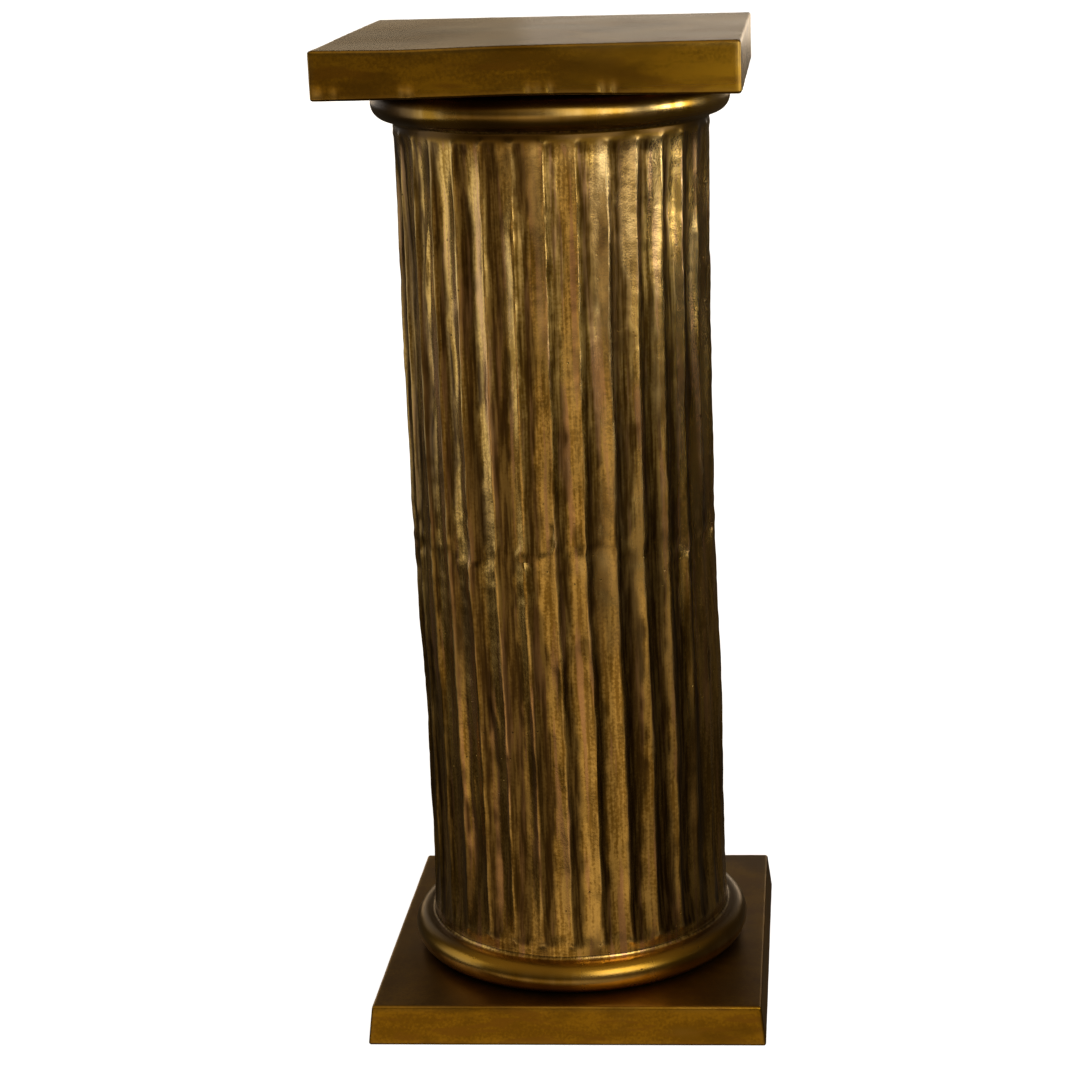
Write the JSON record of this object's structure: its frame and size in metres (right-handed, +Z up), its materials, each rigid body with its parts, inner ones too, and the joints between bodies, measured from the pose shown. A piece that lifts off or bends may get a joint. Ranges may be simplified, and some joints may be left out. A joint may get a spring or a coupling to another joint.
{
  "type": "column pedestal",
  "caption": "Free-standing cast metal pedestal shaped as a fluted Doric column, with a square slab on top to display things on and a square plinth below.",
  "frame": {"origin": "centre of the plinth's underside, on the floor", "axes": "+Z up along the shaft; the face shown in the picture looks towards -Y and +X is to its right"},
  "size_m": [0.3062, 0.3062, 0.7541],
  "materials": {
    "slab_brass": "dark antique brass with rubbed edges",
    "shaft_brass": "rubbed antique brass over sand-cast grain, dark in the flutes",
    "plinth_brass": "dark brown antique brass"
  },
  "bodies": {
    "root": {"top_slab": "slab_brass", "upper_shaft": "shaft_brass", "lower_shaft": "shaft_brass", "plinth": "plinth_brass"}
  },
  "joints": []
}
